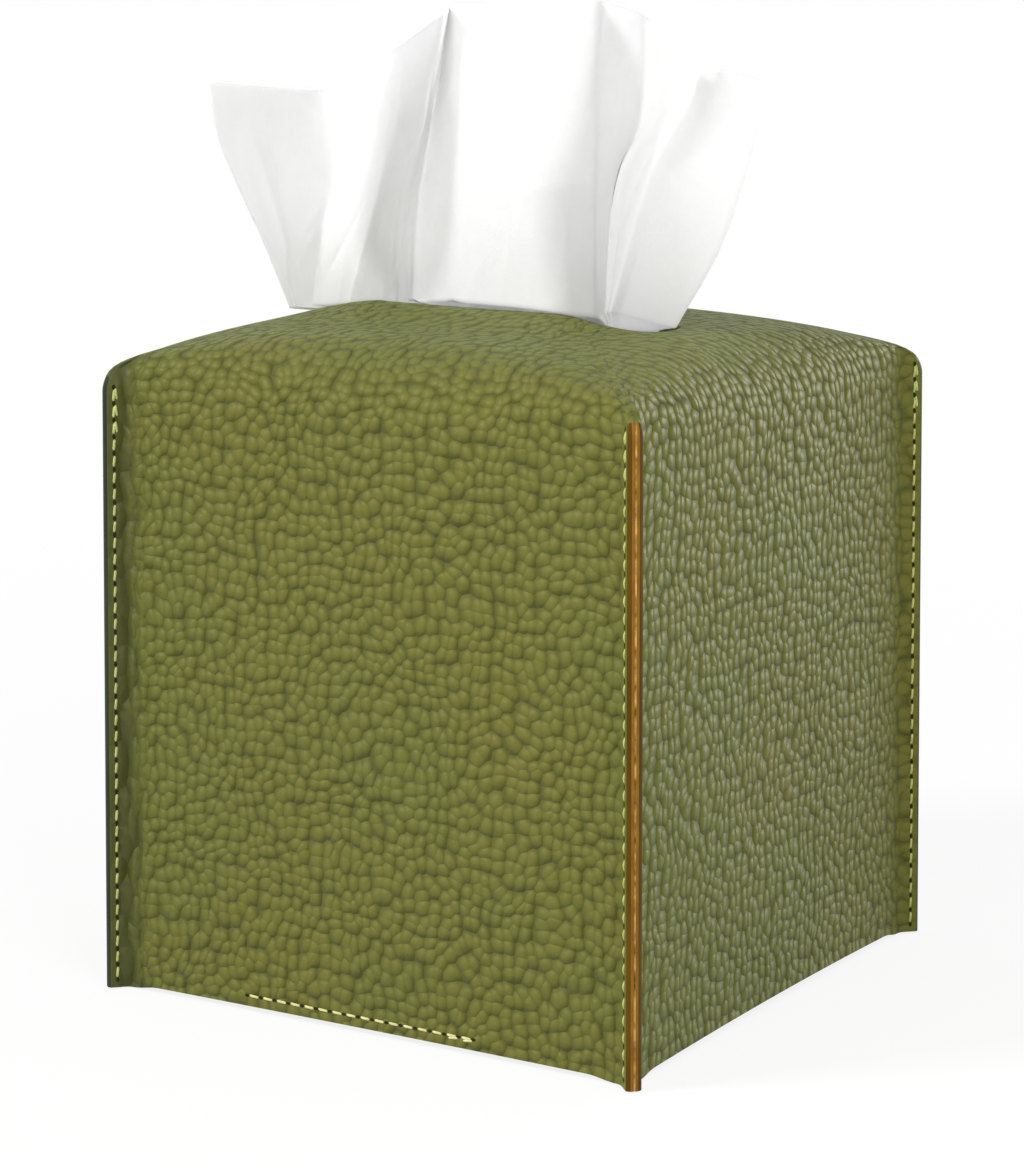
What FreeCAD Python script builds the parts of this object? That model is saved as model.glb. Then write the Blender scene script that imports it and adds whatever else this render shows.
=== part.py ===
"""Tissue box cover of sewn leather, loaded with a cube refill.

Millimetres, +Z up, -Y is the front with the stitched hem. The origin lies on the table under the middle.
"""
import FreeCAD, Part
import Sketcher
import math
import os
from FreeCAD import Placement, Rotation, Vector

# Every independent size of the object: name, value, what it is.
SIZES = [
    ("carton_width", 106.0, "cube refill"),
    ("carton_height", 116.0, "cube refill"),
    ("carton_wall", 0.6, "carton board"),
    ("carton_slack", 3.83, "carton to the lining on each side, at the table"),
    ("carton_gap", 0.25, "tab to the carton"),
    ("head_room", 9.85, "carton to the lining under the top"),
    ("leather_thick", 1.4, "one layer of leather"),
    ("lining_thick", 0.6, "fabric lining"),
    ("glue_gap", 0.05, "bond line between leather and lining"),
    ("wall_lean", 1.4, "how far each wall leans in over the cover height"),
    ("side_roll_reach", 18.0, "roll from wall to top, inward, at the middle of a side"),
    ("side_roll_drop", 14.0, "the same roll, downward"),
    ("corner_roll_reach", 24.0, "roll from fin to top, inward, at a corner"),
    ("corner_roll_drop", 9.5, "the same roll, downward, ending at the top of the fin"),
    ("fin_depth", 3.0, "fin outside the panel corner, along the diagonal"),
    ("fin_round", 2.4, "rounding of the upper end of a fin"),
    ("seam_slit", 0.2, "open line between the two layers of a fin"),
    ("slit_stop", 4.0, "end of that line below the top of the fin"),
    ("hem_rise", 1.2, "arch of the hem in the middle of a side"),
    ("hem_margin", 8.88, "straight hem between that arch and the corner"),
    ("lining_setback", 2.0, "lower edge of the lining above the table"),
    ("overcut", 1.0, "how far a cutting form runs past what it cuts"),
    ("slot_rim", 10.0, "end of the slot inside the end of the carton opening"),
    ("slot_width", 24.0, "oval slot in the top, along Y"),
    ("thread_swell", 0.45, "thread at the middle of a stitch, half its width"),
    ("thread_neck", 0.2, "thread where it dips into a needle hole, half its width"),
    ("stitch_pitch", 3.25, "hole to hole"),
    ("stitch_length", 2.5, "visible stitch"),
    ("stitch_inset", 2.0, "stitch line in from the fin edge"),
    ("seam_margin", 1.6, "stitch line ends this far inside the fin ends"),
    ("hem_row_height", 3.0, "front hem stitches above the table"),
    ("tab_row_height", 6.5, "back hem stitches above the table"),
    ("strap_width", 52.8, "strap and tab, along X"),
    ("strap_thick", 1.2, "strap and tab leather"),
    ("strap_floor", 0.3, "underside of the strap above the table"),
    ("strap_stop", 12.0, "free end of the strap to the hinge line of the tab"),
    ("tab_length", 41.0, "hinge line of the tab to its free end"),
    ("strap_corner", 8.0, "rounding of the free ends"),
    ("sewn_height", 9.5, "sewn-in end of strap and tab"),
    ("hinge_gap", 0.1, "sewn-in end to the bend"),
    ("sewn_gap", 0.1, "sewn-in end to the lining"),
    ("tape_margin", 4.4, "tape in from the long edges of the strap"),
    ("tape_length", 25.0, "hook and loop tapes, along Y"),
    ("tape_thick", 0.8, "each tape"),
    ("tape_gap", 0.05, "between the closed tapes"),
    ("tape_inset", 2.0, "hook tape in from the free end of the tab"),
    ("opening_margin", 9.0, "oval opening in the carton top in from the carton's side"),
    ("opening_rim", 10.0, "that opening past the slot in the cover, along Y"),
    ("film_thick", 0.2, "film under that opening"),
    ("film_margin", 6.0, "film past the opening, glued"),
    ("film_slit_margin", 7.0, "slit in the film inside the end of the opening"),
    ("film_slit_width", 9.0, "slit in the film"),
    ("stack_slack", 2.4, "folded tissues to the carton on each side"),
    ("stack_height", 62.0, "folded tissues in the carton"),
    ("tissue_thick", 1.0, "bulk of the pulled-up tissue"),
    ("tissue_gap", 0.1, "lower end of the tissue above the stack"),
    ("tail_slack", 6.0, "tissue to the ends of the slit in the film"),
    ("neck_slack", 5.0, "tissue to the ends of the slot"),
    ("flare_height", 4.5, "where the tissue has spread, above the top"),
    ("fan_height", 63.5, "tissue above the top"),
    ("fan_reach", 54.0, "half the spread of the tissue"),
]

# Folds of the tissue from left to right: place where it spreads, place of its upper edge, height of that edge.
# Places are shares of the fan reach, heights shares of the fan height.
FOLDS = [
    ((-0.87, -0.26), (-0.99, -0.56), 0.74),
    ((-0.78, -0.19), (-0.78, -0.12), 0.70),
    ((-0.58, -0.17), (-0.42, -0.36), 0.83),
    ((-0.45, -0.11), (-0.25, -0.27), 0.96),
    ((-0.33, 0.04), (-0.30, 0.04), 0.96),
    ((-0.20, -0.09), (-0.16, -0.17), 0.98),
    ((0.13, -0.15), (0.17, -0.30), 1.0),
    ((0.37, -0.13), (0.46, -0.28), 1.0),
    ((0.44, 0.06), (0.54, 0.07), 0.92),
    ((0.53, 0.01), (0.76, -0.11), 0.77),
    ((0.58, 0.08), (0.84, 0.04), 0.79),
    ((0.65, 0.04), (0.97, 0.04), 0.76),
]
# Heights in the roll of the top at which it is lofted, as shares of a quarter turn.
ROLL_STEPS = [0.0, 0.15, 0.30, 0.45, 0.60, 0.72, 0.84, 0.93, 1.0]
# Corners of the cover, by name and by the direction of the diagonal in degrees.
CORNERS = [("front_left", 225), ("front_right", 315), ("back_right", 45), ("back_left", 135)]
DIAGONAL = math.sqrt(2)

# Sizes worked out from the ones above, as expressions over the sheet. Heights run from the table upward.
LAYERS = "(Sizes.leather_thick + Sizes.glue_gap + Sizes.lining_thick)"
STRAP_LEVEL = "(Sizes.strap_floor + Sizes.strap_thick / 2)"
STRAP_TOP = "(Sizes.strap_floor + Sizes.strap_thick)"
TAB_BOTTOM = f"({STRAP_TOP} + 2 * Sizes.tape_thick + Sizes.tape_gap)"
TAB_LEVEL = f"({TAB_BOTTOM} + Sizes.strap_thick / 2)"
CARTON_BOTTOM = f"({TAB_BOTTOM} + Sizes.strap_thick + Sizes.carton_gap)"
CARTON_TOP = f"({CARTON_BOTTOM} + Sizes.carton_height)"
STACK_TOP = f"({CARTON_BOTTOM} + Sizes.carton_wall + Sizes.stack_height)"
COVER_HEIGHT = f"({CARTON_TOP} + Sizes.head_room + {LAYERS})"
SEAM_HEIGHT = f"({COVER_HEIGHT} - Sizes.corner_roll_drop)"
PANEL = f"(Sizes.carton_width / 2 + Sizes.carton_slack + {LAYERS})"
FIN_TIP = f"({PANEL} + Sizes.fin_depth / sqrt(2))"
LEAN = f"(Sizes.wall_lean / {COVER_HEIGHT})"
HINGE_REACH = f"({PANEL} - {LAYERS} - Sizes.sewn_gap - Sizes.strap_thick / 2 - {LEAN} * Sizes.sewn_height)"
STRAP_LENGTH = f"(2 * {HINGE_REACH} - Sizes.strap_stop)"
TAPE_START = f"({HINGE_REACH} - Sizes.tab_length + Sizes.tape_inset)"
OPENING_LENGTH = "(Sizes.carton_width - 2 * Sizes.opening_margin)"
OPENING_WIDTH = "(Sizes.slot_width + 2 * Sizes.opening_rim)"
SLOT_LENGTH = f"({OPENING_LENGTH} - 2 * Sizes.slot_rim)"
FILM_SLIT_LENGTH = f"({OPENING_LENGTH} - 2 * Sizes.film_slit_margin)"

doc = FreeCAD.newDocument("tissue_box_cover")
sheet = doc.addObject("Spreadsheet::Sheet", "Sizes")


def fill_sheet():
    """Writes the sizes into the sheet, each under its own name."""
    for row, (name, number, note) in enumerate(SIZES, start=1):
        sheet.set(f"A{row}", name)
        sheet.set(f"B{row}", str(number))
        sheet.setAlias(f"B{row}", name)
        sheet.set(f"C{row}", note)
    doc.recompute()


def size(name):
    """Value of one named size."""
    return float(sheet.get(name))


def worked_out(expression):
    """Number that an expression over the sheet gives now."""
    result = sheet.evalExpression(expression)
    return float(getattr(result, "Value", result))


def bind(obj, links):
    """Binds properties of an object to expressions over the sheet."""
    for path, expression in links.items():
        obj.setExpression(path, expression)


# Sketches

def polygon(sketch, points):
    """Closed polygon in a sketch whose corners follow pairs of expressions."""
    spots = [Vector(worked_out(x), worked_out(y), 0) for x, y in points]
    for here, there in zip(spots, spots[1:] + spots[:1]):
        sketch.addGeometry(Part.LineSegment(here, there), False)
    for edge in range(len(spots)):
        sketch.addConstraint(Sketcher.Constraint("Coincident", edge, 2, (edge + 1) % len(spots), 1))
    for edge, (x, y) in enumerate(points):
        for kind, expression, number in (("DistanceX", x, spots[edge].x), ("DistanceY", y, spots[edge].y)):
            index = sketch.addConstraint(Sketcher.Constraint(kind, edge, 1, number))
            sketch.setExpression(f"Constraints[{index}]", expression)


def stadium(sketch, length, width):
    """Oval with straight sides in a sketch, along X, around the origin, from two expressions."""
    reach = worked_out(f"({length} - {width}) / 2")
    radius = worked_out(f"{width} / 2")
    ends = [(-reach, -1), (reach, 1)]
    for x, side in ends:
        start, stop = (math.pi / 2, 3 * math.pi / 2) if side < 0 else (-math.pi / 2, math.pi / 2)
        circle = Part.Circle(Vector(x, 0, 0), Vector(0, 0, 1), radius)
        sketch.addGeometry(Part.ArcOfCircle(circle, start, stop), False)
    sketch.addGeometry(Part.LineSegment(Vector(-reach, -radius, 0), Vector(reach, -radius, 0)), False)
    sketch.addGeometry(Part.LineSegment(Vector(reach, radius, 0), Vector(-reach, radius, 0)), False)
    for one, its_end, other, other_end in ((0, 2, 2, 1), (2, 2, 1, 1), (1, 2, 3, 1), (3, 2, 0, 1)):
        sketch.addConstraint(Sketcher.Constraint("Tangent", one, its_end, other, other_end))
    for edge, (x, side) in enumerate(ends):
        sketch.addConstraint(Sketcher.Constraint("PointOnObject", edge, 3, -1))
        index = sketch.addConstraint(Sketcher.Constraint("DistanceX", edge, 3, x))
        sketch.setExpression(f"Constraints[{index}]", f"{side} * ({length} - {width}) / 2")
    index = sketch.addConstraint(Sketcher.Constraint("Radius", 0, radius))
    sketch.setExpression(f"Constraints[{index}]", f"{width} / 2")


def upright_sketch(name, yaw):
    """Sketch standing on the table plane, its X pointing outward in a direction given in degrees."""
    sketch = doc.addObject("Sketcher::SketchObject", name)
    upright = Rotation(Vector(0, 0, 1), yaw).multiply(Rotation(Vector(1, 0, 0), 90))
    sketch.Placement = Placement(Vector(0, 0, 0), upright)
    return sketch


def prism(name, sketch, length, symmetric):
    """Solid pushed out of a sketch along its normal by an expression."""
    solid = doc.addObject("Part::Extrusion", name)
    solid.Base = sketch
    solid.DirMode = "Normal"
    solid.Solid = True
    solid.Symmetric = symmetric
    bind(solid, {"LengthFwd": length})
    return solid


def oval_prism(name, length, width):
    """Oval solid that runs upward through everything."""
    sketch = doc.addObject("Sketcher::SketchObject", name + "_outline")
    stadium(sketch, length, width)
    return prism(name, sketch, f"{COVER_HEIGHT} * 2", False)


def block(name, length, width, height):
    """Box bound to three expressions, centred on X and on Y, on the plane of the table."""
    box = doc.addObject("Part::Box", name)
    bind(box, {
        "Length": length, "Width": width, "Height": height,
        "Placement.Base.x": f"-({length}) / 2", "Placement.Base.y": f"-({width}) / 2",
    })
    return box


def join(name, pieces):
    """Union of several solids."""
    union = doc.addObject("Part::MultiFuse", name)
    union.Shapes = pieces
    return union


def cut(name, solid, tool):
    """One solid less another."""
    rest = doc.addObject("Part::Cut", name)
    rest.Base = solid
    rest.Tool = tool
    return rest


def made_of(name, shape, placement=None):
    """Object that holds a shape worked out in code."""
    piece = doc.addObject("Part::Feature", name)
    piece.Shape = shape
    piece.Placement = placement or Placement()
    return piece


# Leather and lining

def section(corner, side, height):
    """Outline of the cover at one height: four arcs through its corners and the middles of its sides."""
    corners = [Vector(corner, -corner, height), Vector(corner, corner, height),
               Vector(-corner, corner, height), Vector(-corner, -corner, height)]
    middles = [Vector(side, 0, height), Vector(0, side, height),
               Vector(-side, 0, height), Vector(0, -side, height)]
    edges = []
    for start, middle, stop in zip(corners, middles, corners[1:] + corners[:1]):
        straight = abs(side - corner) < 1e-4
        edges.append(Part.makeLine(start, stop) if straight else Part.Arc(start, middle, stop).toShape())
    return Part.Wire(edges)


def inset(below_top, reach, drop):
    """How far a roll of elliptic shape has come inward at a depth under the top."""
    rise = max(0.0, 1 - below_top / drop)
    return reach * (1 - math.sqrt(1 - rise * rise))


def cover_form(name, offset, foot):
    """Solid under the cover's outer surface moved inward by an offset, with its lower end at a height."""
    top = worked_out(COVER_HEIGHT) - offset
    lean = worked_out(LEAN)
    panel = worked_out(PANEL) - offset
    side_roll = size("side_roll_reach") - offset, size("side_roll_drop") - offset
    corner_roll = size("corner_roll_reach") - offset, size("corner_roll_drop") - offset
    rolled = max(side_roll[1], corner_roll[1])
    outlines = []
    for step in ROLL_STEPS:
        depth = rolled * (1 - math.sin(step * math.pi / 2))
        wall = panel - lean * (top - depth)
        corner, side = wall - inset(depth, *corner_roll), wall - inset(depth, *side_roll)
        outlines.append(section(corner, side, top - depth))
    lower = panel - lean * foot
    walls = Part.makeLoft([section(lower, lower, foot), outlines[0]], True, True)
    return made_of(name, walls.fuse(Part.makeLoft(outlines, True, False)))


def fin(corner, yaw):
    """Two layers of leather standing out at a corner, and the open line between them."""
    inner = f"({PANEL} - Sizes.wall_lean - 3 * Sizes.leather_thick) * sqrt(2)"
    shoulder = f"({SEAM_HEIGHT} - Sizes.fin_round)"
    tip = f"({FIN_TIP} * sqrt(2))"
    upper_tip = f"(({FIN_TIP} - {LEAN} * {shoulder}) * sqrt(2))"
    outline = upright_sketch(f"fin_outline_{corner}", yaw)
    polygon(outline, [
        (inner, "0"), (tip, "0"), (upper_tip, shoulder),
        (f"{upper_tip} - Sizes.fin_round", SEAM_HEIGHT), (inner, SEAM_HEIGHT),
    ])
    layers = prism(f"fin_{corner}", outline, "2 * Sizes.leather_thick + Sizes.seam_slit", True)
    line = upright_sketch(f"slit_outline_{corner}", yaw)
    past, below = f"{tip} + Sizes.overcut", "-Sizes.overcut"
    stop = f"{SEAM_HEIGHT} - Sizes.slit_stop"
    polygon(line, [(inner, below), (past, below), (past, stop), (inner, stop)])
    return layers, prism(f"slit_{corner}", line, "Sizes.seam_slit", True)


def hem_arch(name, yaw):
    """Long shallow cylinder that lifts the hem in the middle of two opposite walls."""
    radius = f"(({PANEL} - Sizes.hem_margin) ^ 2 + Sizes.hem_rise ^ 2) / (2 * Sizes.hem_rise)"
    arch = doc.addObject("Part::Cylinder", name)
    lying = Rotation(Vector(0, 0, 1), yaw).multiply(Rotation(Vector(1, 0, 0), 90))
    reach = worked_out(f"2 * {FIN_TIP}")
    arch.Placement = Placement(lying.multVec(Vector(0, 0, -reach)), lying)
    bind(arch, {"Radius": radius, "Height": f"4 * {FIN_TIP}"})
    bind(arch, {"Placement.Base.z": f"Sizes.hem_rise - {radius}"})
    return arch


def leather_cover():
    """Outer leather: a cross-shaped piece, folded down and sewn to fins at its four corners."""
    fins = [fin(corner, yaw) for corner, yaw in CORNERS]
    blank = join("cover_blank", [cover_form("cover_outside", 0, 0)] + [layers for layers, _ in fins])
    voids = [cover_form("cover_inside", size("leather_thick"), -size("overcut")), doc.getObject("top_slot")]
    voids += [line for _, line in fins] + [hem_arch("hem_arch_front", 0), hem_arch("hem_arch_side", 90)]
    return cut("leather_cover", blank, join("cover_voids", voids))


def lining():
    """Fabric bonded to the inside of the leather."""
    outside = size("leather_thick") + size("glue_gap")
    foot = size("lining_setback")
    skin = cover_form("lining_outside", outside, foot)
    hollow = cover_form("lining_inside", outside + size("lining_thick"), foot - size("overcut"))
    return cut("lining", skin, join("lining_voids", [hollow, doc.getObject("top_slot")]))


# Threads

def half_round(radius, height):
    """Closed half of a hexagon, flat on the XZ plane."""
    turns = [math.radians(60 * step) for step in range(4)]
    corners = [Vector(radius * math.cos(turn), radius * math.sin(turn), height) for turn in turns]
    return Part.makePolygon(corners + corners[:1])


def stitch_row(length):
    """Thread along +Z, flat on the XZ plane: it swells at each stitch and dips at each hole."""
    neck, swell, stitch = size("thread_neck"), size("thread_swell"), size("stitch_length")
    steps = int((length - stitch) / size("stitch_pitch"))
    pitch = (length - stitch) / steps
    outlines = []
    for number in range(steps + 1):
        for share, radius in ((0.0, neck), (0.25, swell), (0.75, swell), (1.0, neck)):
            outlines.append(half_round(radius, number * pitch + share * stitch))
    return Part.makeLoft(outlines, True, True)


def seam_thread(label, yaw, side):
    """Thread of a corner seam, on one side of its fin."""
    outward = Vector(math.cos(math.radians(yaw)), math.sin(math.radians(yaw)), 0)
    across = Vector(-outward.y, outward.x, 0) * side
    lean = worked_out(LEAN) * DIAGONAL
    upward = (Vector(0, 0, 1) - outward * lean).normalize()
    margin = size("seam_margin")
    reach = worked_out(FIN_TIP) * DIAGONAL - lean * margin - size("stitch_inset")
    start = outward * reach + across * (size("leather_thick") + size("seam_slit") / 2) + Vector(0, 0, margin)
    turned = Rotation(Vector(), across, upward, "ZYX")
    length = (worked_out(SEAM_HEIGHT) - 2 * margin) / upward.z
    return made_of(label, stitch_row(length), Placement(start, turned))


def on_wall(yaw, depth, height):
    """Placement on a wall, under its surface by a depth: X along the wall, Y outward, Z up the wall."""
    lean = worked_out(LEAN)
    outward = Vector(math.cos(math.radians(yaw)), math.sin(math.radians(yaw)), 0)
    panel = worked_out(PANEL)
    upward = (Vector(0, 0, 1) - outward * lean).normalize()
    facing = (outward + Vector(0, 0, lean)).normalize()
    start = outward * (panel - lean * height) + Vector(0, 0, height) - facing * depth
    return Placement(start, Rotation(Vector(), facing, upward, "ZYX"))


def hem_thread(label, yaw, height, depth, turned):
    """Row of hem stitches across the width of the strap, on a wall or on the inside of a sewn-in end."""
    facing = Rotation(Vector(0, 0, 1), 180 if turned else 0)
    along = facing.multiply(Rotation(Vector(0, 1, 0), 90))
    length = size("strap_width")
    row = Placement(along.multVec(Vector(0, 0, -length / 2)), along)
    return made_of(label, stitch_row(length), on_wall(yaw, depth, height).multiply(row))


# Strap, tab and their tapes

def sewn_end(label, yaw, level):
    """End of a strap that lies flat against the lining, inside the hem."""
    piece = doc.addObject("Part::Box", label)
    bind(piece, {"Length": "Sizes.strap_width", "Width": "Sizes.strap_thick", "Height": "Sizes.sewn_height"})
    depth = worked_out(LAYERS) + size("sewn_gap") + size("strap_thick")
    foot = worked_out(level) + size("strap_thick") / 2 + size("hinge_gap")
    centred = Placement(Vector(-size("strap_width") / 2, 0, 0), Rotation())
    piece.Placement = on_wall(yaw, depth, foot).multiply(centred)
    return piece


def picked(shape, direction, wanted):
    """Names of the straight edges along a direction whose middle passes a test."""
    names = []
    for number, edge in enumerate(shape.Edges, start=1):
        run = edge.Vertexes[-1].Point - edge.Vertexes[0].Point
        if run.cross(direction).Length < 1e-6 and wanted(edge.CenterOfMass):
            names.append(f"Edge{number}")
    return names


def rounded(body, base, edges, radius):
    """Fillet in a body on named edges, its radius bound to an expression."""
    fillet = body.newObject("PartDesign::Fillet", "Fillet")
    fillet.Base = (base, edges)
    bind(fillet, {"Radius": radius})
    doc.recompute()
    return fillet


def strap(label, length, yaw, level):
    """Free part of a strap: a plate with a round bend at its hinge line and rounded free corners."""
    body = doc.addObject("PartDesign::Body", label)
    sketch = body.newObject("Sketcher::SketchObject", label + "_profile")
    sketch.AttachmentSupport = (body.Origin.OriginFeatures[5], [""])
    sketch.MapMode = "FlatFace"
    half = "Sizes.strap_thick / 2"
    polygon(sketch, [(f"-{half}", f"-{half}"), (length, f"-{half}"), (length, half), (f"-{half}", half)])
    pad = body.newObject("PartDesign::Pad", label + "_plate")
    pad.Profile = sketch
    pad.Midplane = True
    bind(pad, {"Length": "Sizes.strap_width"})
    doc.recompute()
    reach = worked_out(length)
    hinge_edges = picked(pad.Shape, Vector(1, 0, 0), lambda middle: middle.y < 0)
    bend = rounded(body, pad, hinge_edges, "0.49 * Sizes.strap_thick")
    free_edges = picked(bend.Shape, Vector(0, 0, 1), lambda middle: middle.y > reach - 0.01)
    rounded(body, bend, free_edges, "Sizes.strap_corner")
    body.Placement = Placement(Vector(0, 0, 0), Rotation(Vector(0, 0, 1), yaw))
    side = "-1" if yaw == 0 else "1"
    bind(body, {"Placement.Base.y": f"{side} * {HINGE_REACH}", "Placement.Base.z": level})
    return body


def tape(label, level):
    """One half of the hook-and-loop closure."""
    piece = block(label, "Sizes.strap_width - 2 * Sizes.tape_margin", "Sizes.tape_length", "Sizes.tape_thick")
    bind(piece, {"Placement.Base.y": TAPE_START, "Placement.Base.z": level})
    return piece


# Refill

def carton():
    """Board carton with an oval opening in its top."""
    shell = block("carton_outside", "Sizes.carton_width", "Sizes.carton_width", "Sizes.carton_height")
    inner = "Sizes.carton_width - 2 * Sizes.carton_wall"
    hollow = block("carton_inside", inner, inner, "Sizes.carton_height - 2 * Sizes.carton_wall")
    bind(shell, {"Placement.Base.z": CARTON_BOTTOM})
    bind(hollow, {"Placement.Base.z": f"{CARTON_BOTTOM} + Sizes.carton_wall"})
    opening = oval_prism("carton_opening", OPENING_LENGTH, OPENING_WIDTH)
    bind(opening, {"Placement.Base.z": f"{CARTON_BOTTOM} + Sizes.carton_height / 2"})
    return cut("carton", shell, join("carton_voids", [hollow, opening]))


def carton_film():
    """Film glued under the carton top, with the slit that holds the tissue up."""
    past = "+ 2 * Sizes.film_margin"
    film = block("film_sheet", f"{OPENING_LENGTH} {past}", f"{OPENING_WIDTH} {past}", "Sizes.film_thick")
    bind(film, {"Placement.Base.z": f"{CARTON_TOP} - Sizes.carton_wall - Sizes.film_thick"})
    slit = oval_prism("film_slit", FILM_SLIT_LENGTH, "Sizes.film_slit_width")
    return cut("carton_film", film, slit)


def tissue_stack():
    """Folded tissues left in the carton."""
    width = "Sizes.carton_width - 2 * Sizes.carton_wall - 2 * Sizes.stack_slack"
    stack = block("tissue_stack", width, width, "Sizes.stack_height")
    bind(stack, {"Placement.Base.z": f"{CARTON_BOTTOM} + Sizes.carton_wall"})
    return stack


def band(spots, height):
    """Closed outline of a folded sheet at one height, half its bulk to each side of a line of plan points."""
    half = size("tissue_thick") / 2
    steps = [(after - before).normalize() for before, after in zip(spots, spots[1:])]
    normals = []
    for before, after in zip(steps[:1] + steps, steps + steps[-1:]):
        middle = Vector(-before.y - after.y, before.x + after.x, 0).normalize()
        normals.append(middle * (half / max(0.4, abs(middle.dot(Vector(-after.y, after.x, 0))))))
    lift = Vector(0, 0, height)
    corners = [spot - normal + lift for spot, normal in zip(spots, normals)]
    corners += [spot + normal + lift for spot, normal in zip(reversed(spots), reversed(normals))]
    return Part.makePolygon(corners + corners[:1])


def gathered(width, depth):
    """Plan points of the tissue where it is gathered between two ends, its folds shallow."""
    reach = size("fan_reach")
    middle = sum(upper[1] for _, upper, _ in FOLDS) / len(FOLDS)
    last = len(FOLDS) - 1
    return [Vector(width * (number / last - 0.5), depth * (upper[1] - middle) * reach, 0)
            for number, (_, upper, _) in enumerate(FOLDS)]


def spread(height):
    """Plan points of the tissue at a height above the top, on the lines from its flare to its upper edge."""
    reach, flare, fan = size("fan_reach"), size("flare_height"), size("fan_height")
    spots = []
    for low, high, share in FOLDS:
        along = (height - flare) / (fan * share - flare)
        start, stop = Vector(*low, 0) * reach, Vector(*high, 0) * reach
        spots.append(start + (stop - start) * along)
    return spots


def upper_edge_cut(top, foot):
    """Solid under the upper edge of the tissue, right through it from front to back."""
    reach, fan, past = size("fan_reach"), size("fan_height"), 0.2 * size("fan_reach")
    edge = sorted((reach * high[0], top + fan * share) for _, high, share in FOLDS)
    edge = [(edge[0][0] - past, edge[0][1])] + edge + [(edge[-1][0] + past, edge[-1][1])]
    frame = [Vector(x, -2 * reach, z) for x, z in edge]
    frame += [Vector(frame[-1].x, -2 * reach, foot), Vector(frame[0].x, -2 * reach, foot)]
    return Part.Face(Part.makePolygon(frame + frame[:1])).extrude(Vector(0, 4 * reach, 0))


def tissue():
    """Tissue pulled up through the slot: a narrow tail, a neck in the slot and a fan of folds above."""
    top = worked_out(COVER_HEIGHT)
    foot = worked_out(STACK_TOP) + size("tissue_gap")
    tail = worked_out(FILM_SLIT_LENGTH) - 2 * size("tail_slack")
    neck = worked_out(SLOT_LENGTH) - 2 * size("neck_slack")
    flare, fan = size("flare_height"), size("fan_height")
    outlines = [
        band(gathered(tail, 0.08), foot),
        band(gathered(tail, 0.08), worked_out(CARTON_TOP)),
        band(gathered(neck, 0.15), top),
        band(spread(flare), top + flare),
        band(spread(fan), top + fan),
    ]
    sheet_form = Part.makeLoft(outlines, True, True)
    return made_of("tissue", sheet_form.common(upper_edge_cut(top, foot - size("overcut"))))


def build():
    """Every piece of the object, in the order of the file list."""
    oval_prism("top_slot", SLOT_LENGTH, "Sizes.slot_width")
    front, back = -90, 90
    inside = worked_out(LAYERS) + size("sewn_gap") + size("strap_thick")
    pieces = [leather_cover(), lining()]
    for corner, yaw in CORNERS:
        pieces.append(seam_thread(f"seam_needle_thread_{corner}", yaw, -1))
        pieces.append(seam_thread(f"seam_bobbin_thread_{corner}", yaw, 1))
    rows = [("front", front, size("hem_row_height")), ("back", back, size("tab_row_height"))]
    for name, yaw, height in rows:
        pieces.append(hem_thread(f"{name}_hem_needle_thread", yaw, height, 0, False))
        pieces.append(hem_thread(f"{name}_hem_bobbin_thread", yaw, height, inside, True))
    pieces += [
        sewn_end("front_strap_sewn_end", front, STRAP_LEVEL),
        strap("front_strap", STRAP_LENGTH, 0, STRAP_LEVEL),
        tape("loop_tape", STRAP_TOP),
        sewn_end("back_tab_sewn_end", back, TAB_LEVEL),
        strap("back_tab", "Sizes.tab_length", 180, TAB_LEVEL),
        tape("hook_tape", f"{STRAP_TOP} + Sizes.tape_thick + Sizes.tape_gap"),
        carton(), carton_film(), tissue_stack(), tissue(),
    ]
    doc.recompute()
    return pieces


def write(pieces):
    """Checks every object and writes one file for each piece."""
    for obj in doc.Objects:
        if {"Invalid", "Error"} & set(obj.State):
            raise RuntimeError(f"{obj.Label} is {obj.State}")
    os.makedirs("parts", exist_ok=True)
    for piece in pieces:
        if piece.Shape.isNull() or not piece.Shape.isValid():
            raise RuntimeError(f"{piece.Label} has no valid shape")
        piece.Shape.exportStep(f"parts/{piece.Label}.step")


fill_sheet()
write(build())
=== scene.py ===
"""Looks of a sewn leather tissue box cover with its refill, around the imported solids, in millimetres."""
import bpy
import math
import numpy as np
from mathutils import Matrix

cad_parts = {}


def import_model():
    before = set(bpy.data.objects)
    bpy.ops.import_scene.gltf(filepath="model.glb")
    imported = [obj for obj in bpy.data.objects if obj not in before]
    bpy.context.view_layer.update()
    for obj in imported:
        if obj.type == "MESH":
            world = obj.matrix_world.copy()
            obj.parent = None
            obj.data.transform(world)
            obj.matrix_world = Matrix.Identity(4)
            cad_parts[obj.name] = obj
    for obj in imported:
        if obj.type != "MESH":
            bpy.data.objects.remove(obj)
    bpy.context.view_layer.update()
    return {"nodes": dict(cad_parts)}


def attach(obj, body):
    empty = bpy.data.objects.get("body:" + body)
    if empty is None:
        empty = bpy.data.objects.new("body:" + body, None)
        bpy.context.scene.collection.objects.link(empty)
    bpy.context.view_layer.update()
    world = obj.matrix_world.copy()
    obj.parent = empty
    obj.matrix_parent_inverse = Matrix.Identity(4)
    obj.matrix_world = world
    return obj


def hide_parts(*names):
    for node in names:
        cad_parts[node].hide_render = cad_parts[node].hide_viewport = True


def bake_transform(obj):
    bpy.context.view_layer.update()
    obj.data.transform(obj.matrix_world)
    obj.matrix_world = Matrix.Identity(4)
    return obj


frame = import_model()

MM = 0.001
FLAT_PLACE = "flat_place"
ROOT2 = math.sqrt(2)

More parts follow.
